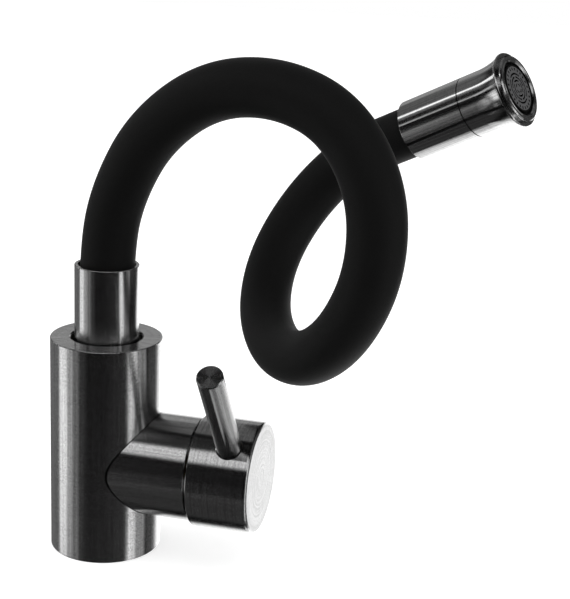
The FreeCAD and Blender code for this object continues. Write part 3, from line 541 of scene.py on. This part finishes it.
def tubeMesh(name, frames, look, startRun):
    # closed tube wall along the frames; startRun is the length of line before the first of them
    outer = outerRadius(look, startRun)
    sides = look["sides"]
    mesh = bmesh.new()
    rings = []
    run = 0.0
    for i, (place, way, side) in enumerate(frames):
        if i:
            run += (place - frames[i - 1][0]).length
        across = way.cross(side)
        outerRing, innerRing = [], []
        for k in range(sides):
            turn = 2 * math.pi * k / sides
            spoke = side * math.cos(turn) + across * math.sin(turn)
            outerRing.append(mesh.verts.new(place + spoke * outer(run, turn)))
            innerRing.append(mesh.verts.new(place + spoke * look["inner"]))
        rings.append((outerRing, innerRing))
    for a, b in zip(rings, rings[1:]):
        for k in range(sides):
            n = (k + 1) % sides
            mesh.faces.new((a[0][k], a[0][n], b[0][n], b[0][k]))
            mesh.faces.new((a[1][n], a[1][k], b[1][k], b[1][n]))
    for (outerRing, innerRing), flip in ((rings[0], False), (rings[-1], True)):
        for k in range(sides):
            n = (k + 1) % sides
            quad = (outerRing[n], outerRing[k], innerRing[k], innerRing[n])
            mesh.faces.new(quad[::-1] if flip else quad)
    data = bpy.data.meshes.new(name)
    mesh.normal_update()
    mesh.to_mesh(data)
    mesh.free()
    piece = bpy.data.objects.new(name, data)
    bpy.context.scene.collection.objects.link(piece)
    selectOnly(piece)
    bpy.ops.object.shade_smooth_by_angle(angle=smoothAngle)
    return piece


def buildHose(look):
    line = smoothLine(hosePoints(look), look)
    frames = lineFrames(line)
    bends = look["bends"]
    index = bends.index(look["tipAfter"])
    split = (Vector(bends[index]) + Vector(bends[index + 1])) * 0.5 * mm
    cut = min(range(len(line)), key=lambda i: (line[i] - split).length)
    stretches = (("", frames[:cut + 1], 0.0), ("Tip", frames[cut:], lineLength(line[:cut + 1])))

    for name, settings, material, slot in (
            ("siliconeSleeve", sleeveLook, silicone, "black_silicone"),
            ("gooseneckCore", coreLook, steelInner, "bright_steel"),
            ("waterHose", waterLook, clearHose, "clear_hose_plastic")):
        for part, stretch, startRun in stretches:
            piece = tubeMesh(name + part, stretch, settings, startRun)
            piece.data.materials.append(material)
            if part:
                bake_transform(piece)
            else:
                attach(piece, "spout")
    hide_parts("silicone_sleeve")
    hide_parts("silicone_sleeve_tip")
    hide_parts("gooseneck_core")
    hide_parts("gooseneck_core_tip")
    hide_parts("water_hose")
    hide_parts("water_hose_tip")
    print("hose length on its smooth line: %.1f mm" % (lineLength(line) / mm))


buildHose(hose)
print("hose made")


# Stage: pale floor, and a dark studio tent with soft white cards that only glossy surfaces see

studio = {
    "floorSize": 8.0, "floorColour": "#f4f4f4", "floorRough": 0.9, "floorGlow": 0.6,
    "worldColour": "#ffffff", "worldLevel": 1.0,
    "fill": 0.7,                     # light from all round on matt surfaces
    "tentRadius": 3.0, "tentCentre": (0.07, 0.02, 0.1), "tentSegments": 64, "tentRings": 32,
    "tentDark": 0.006,
}
lampLook = {
    "name": "overhead", "place": (0.3, -0.3, 1.4), "target": (0.06, 0, 0.1),
    "size": (1.0, 1.0), "power": 5,
}

# A card of the tent lies round the post or round the branch, in degrees as the object sees it.
# Round the post, its place is how far right of the camera's side and how far up it lies; round the
# branch, how far from the front over the top, and how far towards the knob. Half is half its size,
# soft is how wide its edge fades, and lean is how far it rises for each degree round.
cards = {
    "post": {
        "leftEdge": {"at": (-128, -12), "half": (24, 22), "soft": 6, "level": 0.2},
        "leftStrip": {"at": (-92, -19), "half": (12, 11), "soft": 6, "level": 1.7},
        "leftShoulder": {"at": (-74, -20), "half": (8, 12), "soft": 6, "level": 0.68},
        "leftTail": {"at": (-60, -22), "half": (8, 14), "soft": 8, "level": 0.3},
        "leftGlow": {"at": (-50, -12), "half": (12, 30), "soft": 14, "level": 0.06},
        "leftHigh": {"at": (-126, 42), "half": (30, 18), "soft": 10, "level": 0.12},
        "highStrip": {"at": (-106, 26), "half": (22, 4.5), "soft": 3, "lean": 0.8, "level": 2.2},
        "highLine": {"at": (-88, 8), "half": (20, 2.5), "soft": 2, "lean": 0.43, "level": 1.0},
        "frontGlow": {"at": (22, -20), "half": (16, 45), "soft": 12, "level": 0.016},
        "rightStrip": {"at": (61, -20), "half": (10, 45), "soft": 12, "level": 1.35},
        "rightShoulder": {"at": (81, -20), "half": (14, 45), "soft": 4, "level": 0.45},
        "rightGlow": {"at": (120, -20), "half": (20, 45), "soft": 8, "level": 0.08},
        "backdrop": {"at": (170, -13), "half": (30, 20), "soft": 12, "level": 1.25},
        "backRight": {"at": (149, -22), "half": (12, 12), "soft": 10, "level": 1.75},
        "backHigh": {"at": (-172, 26), "half": (20, 14), "soft": 16, "level": 0.45},
        "tableRight": {"at": (158, -60), "half": (30, 27), "soft": 12, "level": 1.12},
    },
    "branch": {
        "tableNear": {"at": (-150, 4), "half": (34, 22), "soft": 20, "level": 1.9},
        "overhead": {"at": (47, 5), "half": (13, 45), "soft": 10, "level": 1.05},
        "topBand": {"at": (116, 0), "half": (22, 60), "soft": 10, "level": 0.17},
        "topGlow": {"at": (77, -50), "half": (20, 24), "soft": 10, "level": 0.2},
        "underGlow": {"at": (-60, 0), "half": (32, 60), "soft": 12, "level": 0.055},
    },
}


def seenRays(tree):
    # 1 for what the camera, a mirror or glass shows; 0 for what only lights the object
    rays = addNode(tree, "ShaderNodeLightPath")
    seen = rays.outputs["Is Camera Ray"]
    for kind in ("Is Glossy Ray", "Is Transmission Ray"):
        seen = addNode(tree, "ShaderNodeMath", {"operation": "MAXIMUM"},
                       {0: seen, 1: rays.outputs[kind]}).outputs[0]
    return seen


def makeFloor(look):
    bpy.ops.mesh.primitive_plane_add(size=look["floorSize"], location=(0, 0, 0))
    floor = bpy.context.object
    floor.name = "floor"
    floor.visible_glossy = False     # polished surfaces see the tent's white table instead
    material, tree, shader = newMaterial("paleFloor")
    shader.inputs["Base Color"].default_value = hexToLinear(look["floorColour"])
    shader.inputs["Roughness"].default_value = look["floorRough"]
    glow = addNode(tree, "ShaderNodeMath", {"operation": "MULTIPLY"},
                   {0: seenRays(tree), 1: look["floorGlow"]})
    shader.inputs["Emission Color"].default_value = (1, 1, 1, 1)
    tree.links.new(glow.outputs[0], shader.inputs["Emission Strength"])
    floor.data.materials.append(material)


def makeWorld(look):
    world = bpy.data.worlds.new("studioWorld")
    bpy.context.scene.world = world
    tree = emptyTree(world)
    level = addNode(tree, "ShaderNodeMapRange", None,
                    {"Value": seenRays(tree), "To Min": look["fill"], "To Max": look["worldLevel"]})
    light = addNode(tree, "ShaderNodeBackground", None,
                    {"Color": hexToLinear(look["worldColour"]), "Strength": level.outputs[0]})
    addNode(tree, "ShaderNodeOutputWorld", None, {"Surface": light.outputs[0]})


def softCard(tree, angles, card):
    # bright inside the card, with a soft edge
    fade = card["soft"] / 2
    level = card["level"]
    lean = 0.0
    for angle, at, half in zip(angles, card["at"], card["half"]):
        off = addNode(tree, "ShaderNodeMath", {"operation": "SUBTRACT"},
                      {0: angle, 1: math.radians(at)}).outputs[0]
        off = addNode(tree, "ShaderNodeMath", {"operation": "SUBTRACT"},
                      {0: off, 1: lean}).outputs[0]
        turn = addNode(tree, "ShaderNodeMath", {"operation": "WRAP"},
                       {0: off, 1: math.pi, 2: -math.pi}).outputs[0]
        away = addNode(tree, "ShaderNodeMath", {"operation": "ABSOLUTE"}, {0: turn}).outputs[0]
        share = addNode(tree, "ShaderNodeMapRange", {"interpolation_type": "SMOOTHSTEP"},
                        {"Value": away, "From Min": math.radians(half - fade),
                         "From Max": math.radians(half + fade), "To Min": 1.0, "To Max": 0.0})
        level = addNode(tree, "ShaderNodeMath", {"operation": "MULTIPLY"},
                        {0: share.outputs[0], 1: level}).outputs[0]
        if "lean" in card:
            lean = addNode(tree, "ShaderNodeMath", {"operation": "MULTIPLY"},
                           {0: turn, 1: card["lean"]}).outputs[0]
    return level


def tentAngles(tree):
    # where a point of the tent lies, round the post and round the branch
    place = addNode(tree, "ShaderNodeTexCoord").outputs["Object"]
    way = addNode(tree, "ShaderNodeVectorMath", {"operation": "NORMALIZE"}, {0: place}).outputs[0]
    parts = addNode(tree, "ShaderNodeSeparateXYZ", None, {0: way})
    right, up = parts.outputs["X"], parts.outputs["Z"]
    front = addNode(tree, "ShaderNodeMath", {"operation": "MULTIPLY"},
                    {0: parts.outputs["Y"], 1: -1.0}).outputs[0]
    bearing = addNode(tree, "ShaderNodeMath", {"operation": "ARCTAN2"},
                      {0: right, 1: front}).outputs[0]
    turn = addNode(tree, "ShaderNodeMath", {"operation": "SUBTRACT"},
                   {0: bearing, 1: math.radians(cameraView["turn"][2])}).outputs[0]
    rise = addNode(tree, "ShaderNodeMath", {"operation": "ARCSINE"}, {0: up}).outputs[0]
    over = addNode(tree, "ShaderNodeMath", {"operation": "ARCTAN2"}, {0: up, 1: front}).outputs[0]
    along = addNode(tree, "ShaderNodeMath", {"operation": "ARCSINE"}, {0: right}).outputs[0]
    return {"post": (turn, rise), "branch": (over, along)}


def tentShader(look):
    material = bpy.data.materials.new("studioTent")
    tree = emptyTree(material)
    angles = tentAngles(tree)
    level = look["tentDark"]
    for middle, group in cards.items():
        for card in group.values():
            level = addNode(tree, "ShaderNodeMath", {"operation": "MAXIMUM"},
                            {0: softCard(tree, angles[middle], card), 1: level}).outputs[0]
    glow = addNode(tree, "ShaderNodeEmission", None, {"Strength": level})
    addNode(tree, "ShaderNodeOutputMaterial", None, {"Surface": glow.outputs[0]})
    return material


def makeTent(look):
    bpy.ops.mesh.primitive_uv_sphere_add(segments=look["tentSegments"], ring_count=look["tentRings"],
                                         radius=look["tentRadius"], location=look["tentCentre"])
    tent = bpy.context.object
    tent.name = "studioTent"
    tent.data.materials.append(tentShader(look))
    tent.visible_camera = False
    tent.visible_diffuse = False
    tent.visible_transmission = False
    tent.visible_shadow = False


def makeLamp(look):
    place = Vector(look["place"])
    bpy.ops.object.light_add(type="AREA", location=place)
    lamp = bpy.context.object
    lamp.name = look["name"]
    lamp.data.shape = "RECTANGLE"
    lamp.data.size, lamp.data.size_y = look["size"]
    lamp.data.energy = look["power"]
    lamp.visible_glossy = False
    lamp.rotation_euler = (Vector(look["target"]) - place).to_track_quat("-Z", "Y").to_euler()


makeFloor(studio)
makeWorld(studio)
makeTent(studio)
makeLamp(lampLook)
print("stage made")

bpy.context.scene.view_settings.view_transform = "Standard"

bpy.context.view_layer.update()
import json
